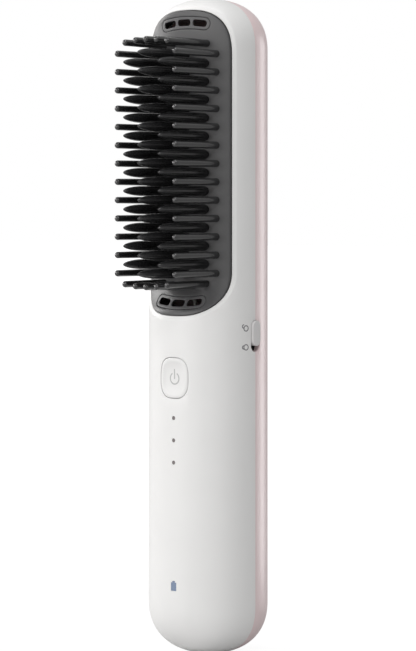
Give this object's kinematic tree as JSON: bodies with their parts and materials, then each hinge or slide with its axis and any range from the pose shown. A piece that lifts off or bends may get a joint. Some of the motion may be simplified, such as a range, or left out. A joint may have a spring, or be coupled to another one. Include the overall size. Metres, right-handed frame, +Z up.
{
  "type": "cordless hair straightening comb",
  "caption": "Cordless heated straightening comb with an oval handle, a sunken comb plate with blade and guard teeth, power button, lamps, lock slider and charging port",
  "frame": {"origin": "centre of the charging port's mouth, in the flat of the lower end, on the body's axis", "axes": "+Z up the body, -Y the way the teeth point, +X to the side with the lock slider"},
  "size_m": [0.0391, 0.0499, 0.205],
  "materials": {
    "white_shell": "satin white plastic",
    "pink_shell": "satin pale pink plastic",
    "plate_grey": "fine matte dark grey plastic",
    "vent_grey": "matte grey plastic",
    "guard_black": "black heat-resistant plastic",
    "comb_black": "cast metal with a black coating",
    "heater_ceramic": "sintered ceramic",
    "insulator_amber": "heat-resistant film",
    "bracket_metal": "pressed metal",
    "fuse_metal": "metal case",
    "sensor_brown": "coated bead",
    "screw_steel": "plated steel",
    "button_white": "satin white plastic",
    "plunger_black": "moulded plastic",
    "switch_black": "moulded plastic",
    "light_guide": "tinted clear plastic",
    "lamp_lens": "tinted clear plastic",
    "lamp_body": "moulded lamp",
    "board_green": "circuit board",
    "component_dark": "moulded components",
    "chassis_grey": "moulded plastic",
    "cell_metal": "metal can",
    "sleeve_blue": "shrunk film",
    "tab_nickel": "nickel strip",
    "socket_steel": "plated steel",
    "slider_grey": "satin light plastic",
    "lever_white": "moulded plastic",
    "wire_red": "insulated wire",
    "wire_black": "insulated wire",
    "wire_white": "insulated wire"
  },
  "bodies": {
    "body": {"front_shell": "white_shell", "rear_shell": "pink_shell", "comb_plate": "plate_grey", "upper_vent_grille": "vent_grey", "lower_vent_grille": "vent_grey", "guard_teeth": "guard_black", "heated_comb": "comb_black", "heater_plates": "heater_ceramic", "heater_insulator": "insulator_amber", "heater_bracket": "bracket_metal", "thermal_fuse": "fuse_metal", "temperature_sensor": "sensor_brown", "bracket_screws": "screw_steel", "comb_screws": "screw_steel", "plate_screws": "screw_steel", "button_switch": "switch_black", "status_light_guide": "light_guide", "battery_lamp_lens": "lamp_lens", "lamps": "lamp_body", "main_board": "board_green", "board_components": "component_dark", "board_screws": "screw_steel", "chassis": "chassis_grey", "chassis_screws": "screw_steel", "battery_cell": "cell_metal", "battery_sleeve": "sleeve_blue", "battery_tabs": "tab_nickel", "charging_board": "board_green", "charging_board_screws": "screw_steel", "charging_socket": "socket_steel", "lock_switch": "switch_black", "lock_board": "board_green", "battery_wires": "wire_red", "charging_wires": "wire_black", "heater_wires": "wire_white", "sensor_wires": "wire_white"},
    "power_button": {"power_button": "button_white", "switch_plunger": "plunger_black"},
    "lock_slider": {"lock_slider": "slider_grey", "lock_switch_lever": "lever_white"}
  },
  "joints": [
    {"name": "power_button_press", "type": "slide", "parent": "body", "child": "power_button", "axis": [0, 1, 0], "range_m": [0, 0.0005], "stiffness_N_per_m": 2000},
    {"name": "lock_slider_slide", "type": "slide", "parent": "body", "child": "lock_slider", "axis": [0, 0, -1], "range_m": [0, 0.0018]}
  ]
}
